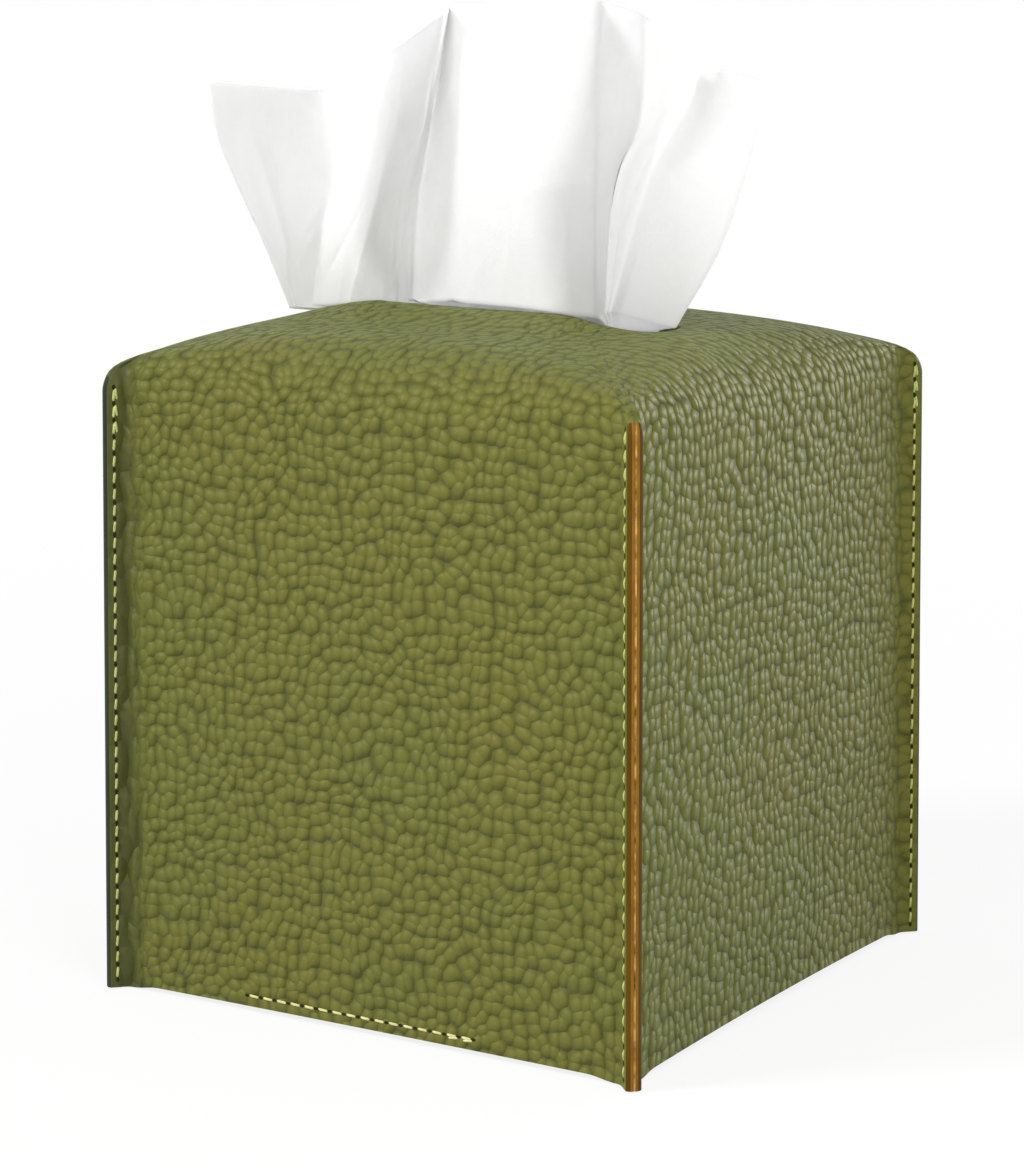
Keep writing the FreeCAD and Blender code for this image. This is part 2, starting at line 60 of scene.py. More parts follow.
# Cover, as in the part
TOP = 132.5
SEAM_TOP = 123.0
PANEL = 58.88
LEAN = 1.4 / TOP
SIDE_ROLL = 18.0, 14.0
CORNER_ROLL = 24.0, 9.5
LEATHER = 1.4
LINING_OUTSIDE = 1.45
LINING_INSIDE = 2.05
LINING_FOOT = 2.0
SLOT_LENGTH, SLOT_WIDTH = 68.0, 24.0

# Corner fins
FIN_DEPTH = 3.0
FIN_HALF = 1.5
FIN_BEND = 2.2
FIN_END = 3.0
FIN_SIDE_STEPS = -0.25, 0.35, 0.95, 1.5, 2.0
EDGE_STEPS = 0.96, 0.85, 0.68, 0.48, 0.28, 0.11, 0.0
EDGE_ROUND = 0.6
SEAM_GROOVE = 0.25
CORNER_SPREAD = 3.03
CORNER_GAP = 0.6

# Soft ridge that runs on from each fin over the roll
RIDGE_REACH = 6.0
RIDGE_FOOT, RIDGE_SPREAD, RIDGE_POWER = 0.7, 26.0, 1.6
INSIDE_RIDGE = 1.0
SHARP = 1e-6

# Grid of the leather
HALF_PANEL_COLUMNS = 42
WALL_STEP = 1.35
FIN_END_ROWS = 9
ROLL_ROWS = 22
TOP_ROWS = 16
INSIDE_WALL_ROWS, INSIDE_ROLL_ROWS, INSIDE_TOP_ROWS = 6, 8, 3
INSIDE_WALL_TOP, INSIDE_ROLL_FOOT = SEAM_TOP - 8, SEAM_TOP - 7
SHARP_ANGLE = 60
SIDES = range(4)

# Shape that the sewn cover has taken
HEM_LIFT = 0.7
HEM_BOW = 0.2, 0.9, 0.4, 0.7
HEM_EASE, HEM_REACH = 6.0, 30.0
TOP_TILT, TILT_FROM, TILT_RISE = 0.012, 108, 26
WAVE = 0.22
WAVE_FROM = 20
SWELL, SWELL_PLACE, SWELL_REACH = 3.0, 12.0, 12.0
SWELL_MIDDLE, SWELL_HALF, SWELL_FADE = -6.0, 20.0, 22.0
SWELL_FROM, SWELL_RISE = 124, 8

# Camera fitted to the corner fins
PHOTO_WIDTH, PHOTO_HEIGHT = 1024, 1164
AZIMUTH, ELEVATION = 31.6, 10.57
DISTANCE = 675.7
FOCAL_PIXELS = 3329.0
TARGET_SIDEWAYS, TARGET_HEIGHT = -2.36, 79.0
SENSOR = 36.0


# Mesh helpers

def smooth_step(x):
    """Soft rise from 0 to 1."""
    x = np.clip(x, 0.0, 1.0)
    return x * x * (3 - 2 * x)


def new_object(name, points, faces, materials, picks=None, sharp=None, places=None):
    """Smooth object from points in millimetres, sharp over an angle, with flat places of its skin."""
    mesh = bpy.data.meshes.new(name)
    mesh.from_pydata((np.asarray(points) * MM).tolist(), [], [list(face) for face in faces])
    for material in materials:
        mesh.materials.append(material)
    if picks is not None:
        mesh.polygons.foreach_set("material_index", np.asarray(picks, np.int32))
    mesh.polygons.foreach_set("use_smooth", np.ones(len(mesh.polygons), bool))
    if sharp:
        mesh.set_sharp_from_angle(angle=math.radians(sharp))
    if places is not None:
        flat = mesh.attributes.new(FLAT_PLACE, "FLOAT_VECTOR", "CORNER")
        flat.data.foreach_set("vector", (np.asarray(places) * MM).ravel())
    mesh.update()
    obj = bpy.data.objects.new(name, mesh)
    bpy.context.scene.collection.objects.link(obj)
    return obj


def grid_faces(rows, columns, rows_closed=False, columns_closed=False):
    """Quads of a grid of points, row by row."""
    r = np.arange(rows if rows_closed else rows - 1)[:, None]
    c = np.arange(columns if columns_closed else columns - 1)[None, :]
    r2, c2 = (r + 1) % rows, (c + 1) % columns
    quads = np.stack([r * columns + c, r * columns + c2, r2 * columns + c2, r2 * columns + c], axis=-1)
    return quads.reshape(-1, 4)


def dressed(obj, body, slot, *nodes):
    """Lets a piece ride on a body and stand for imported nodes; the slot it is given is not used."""
    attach(obj, body)
    if nodes:
        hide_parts(*nodes)
    return obj


# Materials

class Shader:
    """Node material with one principled shader."""

    def __init__(self, name, color, roughness, specular=0.3):
        self.material = bpy.data.materials.new(name)
        self.material.use_nodes = True
        self.tree = self.material.node_tree
        self.shader = self.tree.nodes["Principled BSDF"]
        self.set("Base Color", (*color, 1.0))
        self.set("Roughness", roughness)
        self.set("Specular IOR Level", specular)
        self.material.diffuse_color = (*color, 1.0)
        self.place = self.node("ShaderNodeTexCoord").outputs["Object"]

    def set(self, socket, value):
        """Value of one socket of the shader."""
        self.shader.inputs[socket].default_value = value

    def node(self, kind, inputs=(), **settings):
        """New node with settings and inputs, each a link or a value."""
        node = self.tree.nodes.new(kind)
        for name, value in settings.items():
            setattr(node, name, value)
        for socket, value in dict(inputs).items():
            self.feed(node.inputs[socket], value)
        return node

    def feed(self, socket, value):
        """Links an output to a socket, or sets the socket."""
        if isinstance(value, bpy.types.NodeSocket):
            self.tree.links.new(value, socket)
        else:
            socket.default_value = value

    def noise(self, scale, detail=2.0, place=None):
        """Noise between 0 and 1."""
        inputs = {"Vector": place or self.place, "Scale": scale, "Detail": detail}
        return self.node("ShaderNodeTexNoise", inputs).outputs["Fac"]

    def warped(self, place, scale, reach, stretch):
        """Place moved about by noise and stretched."""
        swirl = self.node("ShaderNodeTexNoise", {"Vector": place, "Scale": scale, "Detail": 2.0})
        shift = self.vectors("SUBTRACT", swirl.outputs["Color"], (0.5, 0.5, 0.5))
        moved = self.vectors("ADD", place, self.vectors("MULTIPLY", shift, (reach,) * 3))
        return self.node("ShaderNodeMapping", {"Vector": moved, "Scale": stretch}).outputs["Vector"]

    def domes(self, place, scale, uneven):
        """Rounded cells, one over their middles and low in the creases between them."""
        inputs = {"Vector": place, "Scale": scale, "Randomness": uneven}
        far = self.node("ShaderNodeTexVoronoi", inputs, voronoi_dimensions="2D").outputs["Distance"]
        return self.math("SUBTRACT", 1.0, self.math("MULTIPLY", self.math("MULTIPLY", far, far), 2.0))

    def remap(self, value, low, high, start=0.0, stop=1.0):
        """Smooth map of a range onto another."""
        inputs = {"Value": value, 1: low, 2: high, 3: start, 4: stop}
        return self.node("ShaderNodeMapRange", inputs, interpolation_type="SMOOTHSTEP").outputs["Result"]

    def math(self, operation, one, other):
        """Arithmetic on two values."""
        return self.node("ShaderNodeMath", {0: one, 1: other}, operation=operation).outputs["Value"]

    def vectors(self, operation, one, other):
        """Arithmetic on two vectors."""
        return self.node("ShaderNodeVectorMath", {0: one, 1: other}, operation=operation).outputs["Vector"]

    def blended(self, share, one, other):
        """Mix of two values."""
        return self.node("ShaderNodeMix", {0: share, 2: one, 3: other}).outputs[0]

    def mixed(self, share, one, other):
        """Mix of two colours."""
        node = self.node("ShaderNodeMix", data_type="RGBA")
        colors = [socket for socket in node.inputs if socket.type == "RGBA"]
        self.feed(node.inputs[0], share)
        for socket, color in zip(colors, (one, other)):
            self.feed(socket, color if isinstance(color, bpy.types.NodeSocket) else (*color, 1.0))
        return [socket for socket in node.outputs if socket.type == "RGBA"][0]

    def color(self, socket):
        """Links the base colour."""
        self.feed(self.shader.inputs["Base Color"], socket)

    def roughness(self, socket):
        """Links the roughness."""
        self.feed(self.shader.inputs["Roughness"], socket)

    def bump(self, height, strength, distance):
        """Links relief from a height."""
        inputs = {"Height": height, "Strength": strength, "Distance": distance}
        self.feed(self.shader.inputs["Normal"], self.node("ShaderNodeBump", inputs).outputs["Normal"])


LEATHER_COLOR = 0.128, 0.129, 0.0148
# Colour in the creases of the grain, darker than the leather: painted shade.
CREASE_SHADE_COLOR = 0.103, 0.105, 0.0117
# Darker colour along the front left seam, where the leather curves in towards the fin: painted shade.
SEAM_SHADE_COLOR = 0.07, 0.075, 0.012
WARM_SHARES, COOL_SHARES = (1.04, 0.99, 0.95), (0.94, 1.0, 1.08)
SHEEN_TINT = 0.1, 1.0, 0.75, 1.0
GRAIN_SCALE = 410.0
GRAIN_STRETCH = 1.0, 0.95, 1.0
GRAIN_DRIFT, WRINKLE_DRIFT = 0.005, 0.004
DRIFT_SCALE = 60.0
WRINKLE_STRETCH = 1.0, 0.35, 1.0
WRINKLE_DEPTH = 1.6
WRINKLES_FROM, WRINKLES_FULL = -0.049, -0.057
FINE_SCALE, FINE_SHARE = 220.0, 0.8
CLOUD_SCALE = 28.0


def leather_material(name, base, crease, relief):
    """Pebble-grained leather: soft drifting domes, drawn out into wrinkles along the front left seam, with
    painted shade in the creases and along that seam.
    """
    skin = Shader(name, base, 0.5, 0.28)
    skin.set("Sheen Weight", 0.03)
    skin.set("Sheen Tint", SHEEN_TINT)
    flat = skin.node("ShaderNodeAttribute", attribute_name=FLAT_PLACE).outputs["Vector"]
    pebble = skin.domes(skin.warped(flat, DRIFT_SCALE, GRAIN_DRIFT, GRAIN_STRETCH), GRAIN_SCALE, 0.7)
    wrinkle = skin.domes(skin.warped(flat, DRIFT_SCALE, WRINKLE_DRIFT, WRINKLE_STRETCH), GRAIN_SCALE, 0.9)
    along = skin.node("ShaderNodeSeparateXYZ", {0: flat}).outputs["X"]
    # Mask near the front left seam: it draws out the wrinkles and lays painted shade there.
    near_seam = skin.remap(along, WRINKLES_FROM, WRINKLES_FULL)
    grain = skin.blended(near_seam, pebble, skin.math("MULTIPLY", wrinkle, WRINKLE_DEPTH))
    fine = skin.math("MULTIPLY", skin.noise(FINE_SCALE, 3.0), FINE_SHARE)
    height = skin.math("ADD", grain, fine)
    cloud = skin.remap(skin.noise(CLOUD_SCALE, 3.0), 0.3, 0.7)
    warm, cool = (tuple(np.multiply(shares, base)) for shares in (WARM_SHARES, COOL_SHARES))
    # Share of the plain colour: it falls off into the creases of the grain and along the front left seam,
    # where painted shade takes over.
    unshaded_share = skin.math("SUBTRACT", skin.remap(grain, 0.2, 0.7), near_seam)
    skin.color(skin.mixed(unshaded_share, skin.mixed(near_seam, crease, SEAM_SHADE_COLOR), skin.mixed(cloud, warm, cool)))
    skin.roughness(skin.remap(grain, 0.3, 0.95, 0.66, 0.54))
    skin.bump(height, 1.0, relief)
    return skin.material


def plain_material(name, color, other, roughness, scale, relief, specular=0.2):
    """Material with clouded colour and fine relief."""
    stuff = Shader(name, color, roughness, specular)
    cloud = stuff.noise(scale, 4.0)
    stuff.color(stuff.mixed(stuff.remap(cloud, 0.3, 0.7), color, other))
    stuff.bump(stuff.noise(scale * 6, 3.0), 0.4, relief)
    return stuff.material


# The second colour given to each leather is its painted crease shade.
leather = leather_material("olive_leather", LEATHER_COLOR, CREASE_SHADE_COLOR, 0.0009)
fin_leather = leather_material("pressed_leather", (0.125, 0.125, 0.010), (0.105, 0.105, 0.008), 0.0003)
edge_paint = plain_material("edge_paint", (0.026, 0.032, 0.018), (0.018, 0.023, 0.014), 0.5, 60, 0.0001, 0.1)
# Brown edge colour used at two corners in place of the dark edge paint.
brown_edge = plain_material("brown_edge", (0.105, 0.055, 0.002), (0.075, 0.036, 0.001), 0.45, 60.0, 0.0001, 0.1)
# Brighter brown beside the centre line of a brown edge: painted highlight along the crown of the rounded
# edge.
edge_crown_highlight = plain_material("edge_crown_highlight", (0.27, 0.13, 0.012), (0.19, 0.085, 0.006), 0.45, 200.0, 0.0001, 0.1)
# Orange centre line of an edge: the real joint between the two leather layers, broken into bright dots of
# painted highlight.
joint_line_and_highlight = plain_material("joint_line_and_highlight", (0.80, 0.48, 0.20), (0.18, 0.09, 0.004), 0.45, 420.0, 0.0001, 0.2)
flesh_side = plain_material("flesh_side", (0.22, 0.19, 0.09), (0.17, 0.15, 0.07), 0.9, 400.0, 0.0002)
lining_cloth = plain_material("lining_cloth", (0.10, 0.10, 0.085), (0.07, 0.07, 0.06), 0.95, 900.0, 0.0002)
seam_yarn = plain_material("seam_yarn", (0.40, 0.43, 0.13), (0.52, 0.55, 0.20), 0.55, 700.0, 0.0001)
hem_yarn = plain_material("hem_yarn", (0.62, 0.58, 0.27), (0.72, 0.68, 0.36), 0.55, 700.0, 0.0001)
# Near black of the needle holes: painted shade, lying on the leather as flat discs.
hole_shade = plain_material("hole_shade", (0.012, 0.012, 0.003), (0.02, 0.02, 0.005), 0.9, 400.0, 0.0001)
tape_cloth = plain_material("tape_cloth", (0.03, 0.03, 0.03), (0.05, 0.05, 0.05), 0.9, 1500.0, 0.0003)
board = plain_material("carton_board", (0.72, 0.70, 0.64), (0.66, 0.64, 0.58), 0.75, 120.0, 0.0001)
paper = plain_material("tissue_paper", (0.95, 0.95, 0.95), (0.92, 0.92, 0.925), 0.95, 260.0, 0.0003, 0.1)
sheer_paper = plain_material("sheer_paper", (0.93, 0.93, 0.93), (0.91, 0.91, 0.915), 0.95, 260, 0.00015, 0.1)
sheer_inputs = sheer_paper.node_tree.nodes["Principled BSDF"].inputs
sheer_inputs["Subsurface Weight"].default_value = 1.0
sheer_inputs["Subsurface Radius"].default_value = (1.0, 1.0, 1.0)
sheer_inputs["Subsurface Scale"].default_value = 0.003


# Leather and lining

def roll_inset(below_top, roll, offset):
    """How far the roll of the top has come inward at a depth under the top."""
    reach, drop = roll[0] - offset, roll[1] - offset
    rise = np.clip(1 - below_top / drop, 0.0, 1.0)
    return reach * (1 - math.sqrt(1 - rise * rise))


def diagonal(along, across):
    """Offsets along a wall and outward for a place measured on a corner's diagonal."""
    along, across = np.asarray(along), np.asarray(across)
    return np.stack([(along - across) / ROOT2, (along + across) / ROOT2], axis=-1)


def fin_columns():
    """Offsets from a corner where the leather bends into a fin, along its side and round half its edge."""
    turn = np.radians(np.linspace(0, 45, 5))
    bend = np.stack([FIN_BEND * np.sin(turn) - CORNER_SPREAD, FIN_BEND * (1 - np.cos(turn))], axis=-1)
    out = np.array([*FIN_SIDE_STEPS, FIN_DEPTH - EDGE_ROUND])
    side = diagonal(out, np.full(len(out), FIN_HALF))
    across = np.array(EDGE_STEPS) * FIN_HALF
    depth = FIN_DEPTH - EDGE_ROUND * (across / FIN_HALF) ** 3
    depth[-1] -= SEAM_GROOVE
    return np.concatenate([bend, side, diagonal(depth, across)])


FIN_COLUMNS = fin_columns()
# For the corner before each side: columns of pressed leather, and the corners whose edge is brown instead of
# dark
SIDE_COLUMNS = 3, 7, 3, 7
BROWN_CORNERS = 1, 3
PAINT_SHARE = 0.95
GRAINED, PAINTED, LINE_AND_HIGHLIGHT, FLESH, PRESSED, BROWN, CROWN_HIGHLIGHT = range(7)


def soft_ridge(across, width):
    """Distance inward of a rounded corner from its sharp diagonal tip."""
    return np.where(across < width, (across ** 2 + width ** 2) / (2 * width), across)


def half_side(corner, middle, fin, width):
    """Offsets along a wall and outward, from its middle to the middle of a fin's edge."""
    along = np.linspace(0, 1, HALF_PANEL_COLUMNS) * (corner - CORNER_SPREAD - CORNER_GAP)
    away = (corner - along) / ROOT2
    panel = diagonal(-soft_ridge(away, width), away) + (corner, 0)
    spread = np.linspace(CORNER_SPREAD, 0, len(FIN_COLUMNS)) / ROOT2
    flat = diagonal(-soft_ridge(spread, width), spread)
    tip = fin * FIN_COLUMNS + (1 - fin) * flat + (corner, 0)
    half = np.concatenate([panel, tip])
    share = np.clip(half[:, 0] / corner, -1, 1)
    half[:, 1] += (middle - corner) * (1 - share ** 2)
    return half


def wave(side, along, height):
    """Slight unevenness of a wall, none at its edges."""
    share = np.clip(np.abs(along) / PANEL, 0, 1)
    window = (1 - share ** 6) * np.clip(height / WAVE_FROM, 0, 1)
    ripple = np.sin(along / 9.5 + 1.7 * side) * np.sin(height / 13.0 + side)
    slanting = 0.6 * np.sin((along + height) / 15.0 + side)
    return WAVE * window * (ripple + slanting)


def hem_height(side, along, height, corner):
    """Height after the hem has been lifted off the table between the fins."""
    clear = smooth_step((corner - CORNER_SPREAD - np.abs(along)) / HEM_EASE)
    bow = HEM_BOW[side] * np.clip(1 - (along / PANEL) ** 2, 0, 1)
    return height + (HEM_LIFT + bow) * clear * np.clip(1 - height / HEM_REACH, 0, 1) ** 2


def turned(side, along, outward):
    """Plan places of a side's points: front, right, back, left."""
    plan = [(along, -outward), (outward, along), (-along, outward), (-outward, -along)]
    return plan[side]


def ring(height, offset, fin, width):
    """Points right round the cover at a height, on its outside moved inward by an offset."""
    below = max(0.0, TOP - offset - height)
    wall = PANEL - offset - LEAN * height
    corner = wall - roll_inset(below, CORNER_ROLL, offset)
    middle = wall - roll_inset(below, SIDE_ROLL, offset)
    half = half_side(corner, middle, fin, width)
    mirror = half[:0:-1] * (-1, 1)
    whole = np.concatenate([mirror, half[:-1]])
    points = []
    for side in SIDES:
        along = whole[:, 0]
        outward = corner + whole[:, 1] + wave(side, along, height)
        x, y = turned(side, along, outward)
        points.append(np.stack([x, y, hem_height(side, along, height, corner)], axis=-1))
    return np.concatenate(points)


def fin_share(height):
    """Share of the full fin at a height: over its end it runs out in a soft ridge."""
    return 1 - smooth_step((height - SEAM_TOP + FIN_END) / (FIN_END + RIDGE_REACH))


def painted_half(height):
    """Half width of the painted edge at a height: it ends in a half circle."""
    over = np.clip((height - SEAM_TOP + FIN_HALF) / FIN_HALF, 0, 1)
    return FIN_HALF * math.sqrt(1 - over * over)


def ridge_width(height):
    """Half width of the soft ridge that runs on from a fin over the roll."""
    over = np.clip((height - SEAM_TOP) / (TOP - SEAM_TOP), 0, 1)
    return RIDGE_FOOT + RIDGE_SPREAD * over ** RIDGE_POWER


def slot_ring(points, shrink):
    """Nearest places on the edge of the slot, made smaller by an amount."""
    reach = (SLOT_LENGTH - SLOT_WIDTH) / 2
    centre = np.stack([np.clip(points[:, 0], -reach, reach), np.zeros(len(points))], axis=-1)
    way = points[:, :2] - centre
    way /= np.linalg.norm(way, axis=1, keepdims=True)
    return centre + way * (SLOT_WIDTH / 2 - shrink)


def top_rows(rim, count, height):
    """Rings from the end of the roll inward to the slot."""
    goal = slot_ring(rim, 0.0)
    rows = []
    for share in np.linspace(0, 1, count + 1)[1:]:
        plan = rim[:, :2] + (goal - rim[:, :2]) * share
        rows.append(np.column_stack([plan, np.full(len(plan), height)]))
    return rows


def settled(points):
    """The top leans a little and swells in front of the slot, as the sewn cover has it."""
    points = points.copy()
    before_slot = np.exp(-((points[:, 1] + SWELL_PLACE) / SWELL_REACH) ** 2)
    between_ends = 1 - smooth_step((np.abs(points[:, 0] - SWELL_MIDDLE) - SWELL_HALF) / SWELL_FADE)
    swollen = before_slot * between_ends * smooth_step((points[:, 2] - SWELL_FROM) / SWELL_RISE)
    points[:, 2] += SWELL * swollen
    yaw = math.radians(AZIMUTH)
    across = points[:, 0] * math.cos(yaw) + points[:, 1] * math.sin(yaw)
    points[:, 2] -= TOP_TILT * across * smooth_step((points[:, 2] - TILT_FROM) / TILT_RISE)
    return points


def roll_heights(offset, low, count):
    """Heights over the roll, closer together towards the top."""
    top = TOP - offset
    start = math.asin(np.clip(1 - (top - low) / (SIDE_ROLL[1] - offset), 0, 1))
    angles = np.linspace(start, math.pi / 2, count)
    return [top - (SIDE_ROLL[1] - offset) * (1 - math.sin(angle)) for angle in angles]


def outside_rows():
    """Rings of the leather's outside from the hem up to the slot, and the heights of those below the top."""
    wall_top = SEAM_TOP - FIN_END
    walls = list(np.linspace(0, wall_top, int(wall_top / WALL_STEP)))
    angles = np.linspace(0, math.pi / 2, FIN_END_ROWS + 1)[1:]
    ends = [wall_top + FIN_END * math.sin(angle) for angle in angles]
    heights = walls + ends + roll_heights(0.0, SEAM_TOP, ROLL_ROWS)[1:]
    rows = []
    for height in heights:
        share = fin_share(height)
        width = max(SHARP, (1 - share) * ridge_width(height))
        rows.append(ring(height, 0.0, share, width))
    rows += top_rows(rows[-1], TOP_ROWS, TOP)
    return rows, heights


def inside_rows(offset, foot):
    """Rings of an inner face, from its lower edge up to the slot."""
    walls = list(np.linspace(foot, INSIDE_WALL_TOP, INSIDE_WALL_ROWS))
    heights = walls + roll_heights(offset, INSIDE_ROLL_FOOT, INSIDE_ROLL_ROWS)
    rows = [ring(height, offset, 0.0, INSIDE_RIDGE + ridge_width(height)) for height in heights]
    return rows + top_rows(rows[-1], INSIDE_TOP_ROWS, TOP - offset)


def edge_columns():
    """Materials of the columns of faces on the fins, and how far each lies from its fin's middle line."""
    per_side = 2 * (HALF_PANEL_COLUMNS + len(FIN_COLUMNS)) - 2
    marks = np.full(4 * per_side, GRAINED)
    places = np.zeros(4 * per_side)
    steps = len(EDGE_STEPS)
    edge_places = PAINT_SHARE * FIN_HALF * np.array(EDGE_STEPS[::-1])
    across = np.concatenate([edge_places, np.full(max(SIDE_COLUMNS), FIN_HALF)])
    # Brown edges: the centre line with its painted highlight, two columns of painted highlight on the crown,
    # then plain brown.
    brown_edges = [LINE_AND_HIGHLIGHT, CROWN_HIGHLIGHT, CROWN_HIGHLIGHT] + [BROWN] * (steps - 3)
    for side in SIDES:
        first = side * per_side
        edge = brown_edges if side in BROWN_CORNERS else [PAINTED] * steps
        for step, mark in enumerate(edge + [PRESSED] * SIDE_COLUMNS[side]):
            for column in (first + step, (first - 1 - step) % len(marks)):
                marks[column] = mark
                places[column] = across[step]
    return marks, places


def flat_places(rows, side):
    """Flat places of rings of points: along each wall, and up the wall and over the top."""
    x, y = rows[..., 0], rows[..., 1]
    along = np.choose(side, [x, y, -x, -y])
    outward = np.choose(side, [-y, x, y, -x])
    climb = np.hypot(np.diff(outward, axis=0), np.diff(rows[..., 2], axis=0))
    up = np.concatenate([np.zeros((1, rows.shape[1])), np.cumsum(climb, axis=0)])
    return np.stack([along + 2 * PANEL * side, up, np.zeros_like(up)], axis=-1)


def unfolded(rows):
    """Flat places of the corners of the faces between rings, each face laid out with its own wall."""
    rows = np.array(rows)
    side = np.repeat(np.arange(4), rows.shape[1] // 4)
    near, far = flat_places(rows, side), flat_places(np.roll(rows, -1, axis=1), side)
    corners = [near, far, np.roll(far, -1, axis=0), np.roll(near, -1, axis=0)]
    return np.stack(corners, axis=2).reshape(-1, 3)


def leather_cover():
    """Outer leather, closed round its hem and round the slot."""
    outside, heights = outside_rows()
    inside = inside_rows(LEATHER, 0.0)
    rows = [settled(row) for row in outside + inside[::-1]]
    marks, places = edge_columns()
    picks = np.full((len(rows), len(marks)), GRAINED)
    for number, height in enumerate(heights):
        painted = (places < painted_half(height)) | (marks == PRESSED)
        picks[number] = np.where(painted & (height < SEAM_TOP), marks, GRAINED)
    picks[len(outside) - 1] = PRESSED
    picks[len(outside):] = FLESH
    picks[-1] = PAINTED
    faces = grid_faces(len(rows), len(marks), True, True)
    materials = [leather, edge_paint, joint_line_and_highlight, flesh_side, fin_leather, brown_edge, edge_crown_highlight]
    points = np.concatenate(rows)
    cover = new_object("leather_skin", points, faces, materials, picks.ravel(), SHARP_ANGLE, unfolded(rows))
    return dressed(cover, "cover", "leather", "leather_cover")


def lining():
    """Cloth bonded inside the leather."""
    outer = inside_rows(LINING_OUTSIDE, LINING_FOOT)
    inner = inside_rows(LINING_INSIDE, LINING_FOOT)
    rows = [settled(row) for row in outer + inner[::-1]]
    faces = grid_faces(len(rows), len(rows[0]), True, True)
    cloth = new_object("lining_shell", np.concatenate(rows), faces, [lining_cloth], None, SHARP_ANGLE)
    return dressed(cloth, "cover", "lining", "lining")


# Stitches

STITCH_PITCH = 3.25
STITCH_LENGTH = 2.6
YARN = 0.29
YARN_TWIST, YARN_UNEVEN = 7.0, 0.13
STITCH_LIFT, STITCH_SINK = 0.4, 0.36
STITCH_RINGS, STITCH_SIDES = 13, 10
TACK_SHIFT = 0.42
HOLE_RADIUS = 0.42
HOLE_LIFT = 0.04


def stitch(start, along, normal, length, slant):
    """Points of one twisted stitch that rises out of one hole and dips into the next."""
    aside = np.cross(along, normal)
    share = np.linspace(0, 1, STITCH_RINGS)[:, None]
    turn = np.linspace(0, 2 * math.pi, STITCH_SIDES, endpoint=False)[None, :]
    swell = np.sin(math.pi * np.clip(share, 0.02, 0.98)) ** 0.5
    radius = YARN * (0.35 + 0.65 * swell) * (1 + YARN_UNEVEN * np.cos(2 * turn - YARN_TWIST * share))
    lift = STITCH_LIFT * swell - STITCH_SINK
    middle = start + along * (share * length)[..., None] + normal * lift[..., None]
    middle = middle + aside * (slant * (share - 0.5))[..., None]
    upward = normal * (0.8 * radius * np.sin(turn))[..., None]
    sideways = aside * (radius * np.cos(turn))[..., None]
    return (middle + upward + sideways).reshape(-1, 3)


def hole(spot, along, normal):
    """Points of a flat dark disc lying on a needle hole, drawn a little open along the seam: painted shade of
    the hole.
    """
    aside = np.cross(along, normal)
    turn = np.linspace(0, 2 * math.pi, 8, endpoint=False)[:, None]
    lengthwise = along * (1.2 * HOLE_RADIUS * np.cos(turn))
    sideways = aside * (0.8 * HOLE_RADIUS * np.sin(turn))
    return spot + normal * HOLE_LIFT + lengthwise + sideways


def stitch_row(name, start, stop, normal, yarn, slot, node, tack, slant):
    """Row of stitches between two points, with a few sewn over again at its end, and a dark disc of painted
    shade over each needle hole.
    """
    start, stop, normal = (np.asarray(v, float) for v in (start, stop, normal))
    run = np.linalg.norm(stop - start)
    along = (stop - start) / run
    count = max(1, round(run / STITCH_PITCH))
    pitch = run / count
    aside = np.cross(along, normal)
    tube = grid_faces(STITCH_RINGS, STITCH_SIDES, False, True)
    points, faces, picks = [], [], []
    starts = [(number * pitch, 0.0, slant) for number in range(count)]
    for number in range(tack):
        starts.append(((count - 0.5 - number) * pitch - STITCH_LENGTH / 2, TACK_SHIFT, -slant))
    total = 0
    for begin, shift, lean in starts:
        spot = start + along * (begin + (pitch - STITCH_LENGTH) / 2) + aside * shift
        piece = stitch(spot, along, normal, STITCH_LENGTH, lean)
        points.append(piece)
        faces += (tube + total).tolist()
        picks += [0] * len(tube)
        total += len(piece)
    for number in range(count + 1):
        piece = hole(start + along * number * pitch, along, normal)
        points.append(piece)
        faces.append(list(range(total, total + len(piece))))
        picks.append(1)
        total += len(piece)
    row = new_object(name, np.concatenate(points), faces, [yarn, hole_shade], picks)
    return dressed(row, "cover", slot, node)


CORNERS = {"front_left": 225, "front_right": 315, "back_right": 45, "back_left": 135}
STITCH_OUT = 1.0
SEAM_MARGIN = 1.6
SEAM_TACK, SEAM_SLANT = 3, 0.3
HEM_TACK, HEM_SLANT = 2, 0.2


def seam_point(yaw, side, height):
    """Place of the corner stitches on one side of a fin."""
    outward = np.array([math.cos(math.radians(yaw)), math.sin(math.radians(yaw)), 0])
    across = np.array([-outward[1], outward[0], 0]) * side
    reach = (PANEL - LEAN * height) * ROOT2 + STITCH_OUT
    return outward * reach + across * FIN_HALF + (0, 0, height), across


def seams():
    """Stitches along both sides of every corner fin."""
    for corner, yaw in CORNERS.items():
        for kind, side in (("needle", -1), ("bobbin", 1)):
            low, normal = seam_point(yaw, side, SEAM_MARGIN)
            high, _ = seam_point(yaw, side, SEAM_TOP - SEAM_MARGIN)
            stitch_row(f"seam_{kind}_stitches_{corner}", low, high, normal, seam_yarn, "seam_thread",
                       f"seam_{kind}_thread_{corner}", SEAM_TACK, SEAM_SLANT)


# Way that the wall faces, height, left end and right end of each row
HEM_ROWS = {"front": (-1, 3.0, -27.7, 24.9), "back": (1, 6.5, -26.4, 26.4)}
STRAP_HALF_WIDTH = 26.4
STRAP_HALF_THICK = 0.6
SEWN_GAP = 0.1
SEWN_INSIDE = LINING_INSIDE + SEWN_GAP + 2 * STRAP_HALF_THICK


